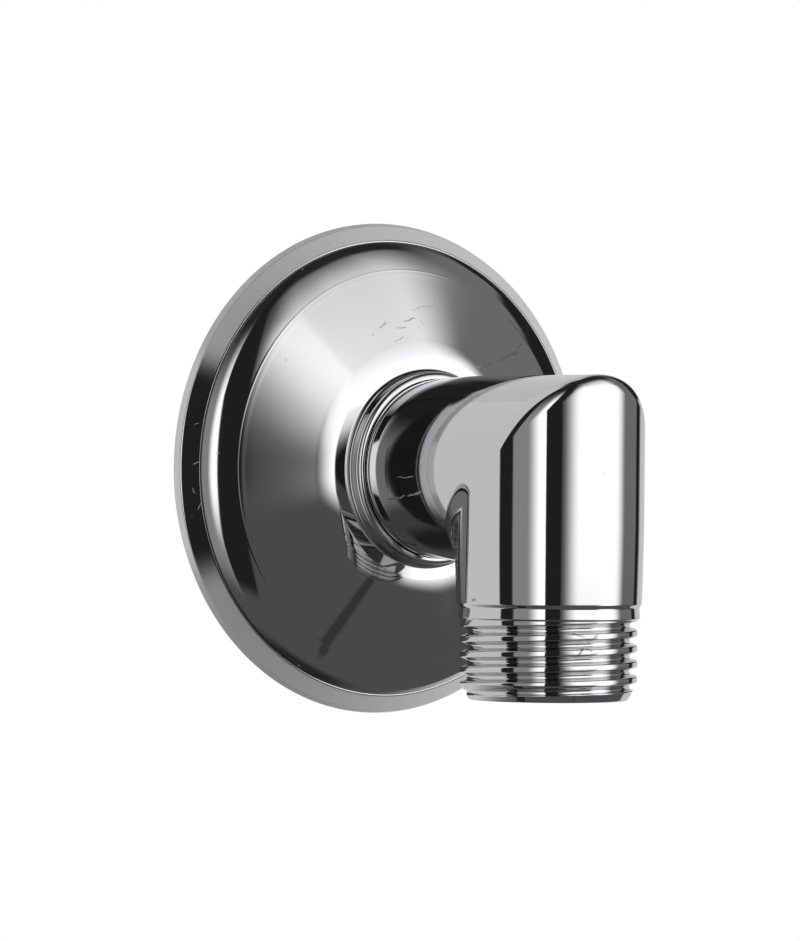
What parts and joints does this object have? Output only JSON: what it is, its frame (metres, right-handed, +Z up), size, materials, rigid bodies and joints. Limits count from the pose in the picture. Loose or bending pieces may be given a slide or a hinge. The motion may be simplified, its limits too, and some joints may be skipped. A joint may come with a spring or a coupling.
{
  "type": "wall outlet elbow",
  "caption": "Chrome wall outlet elbow: a domed round rosette on a mitred pipe elbow that turns water down to a threaded shower hose outlet.",
  "frame": {"origin": "centre of the neck, on the wall face that the rosette's rim sits on", "axes": "-Y points out of the wall into the room, +Y into the wall along the inlet, +Z up, the outlet points down along -Z"},
  "size_m": [0.06, 0.0587, 0.06],
  "materials": {
    "elbow_chrome": "polished chrome plate on brass",
    "rosette_chrome": "polished chrome plate on spun brass sheet",
    "seal_rubber": "plain black rubber"
  },
  "bodies": {
    "root": {"elbow_body": "elbow_chrome", "rosette": "rosette_chrome", "rosette_seal": "seal_rubber"}
  },
  "joints": []
}
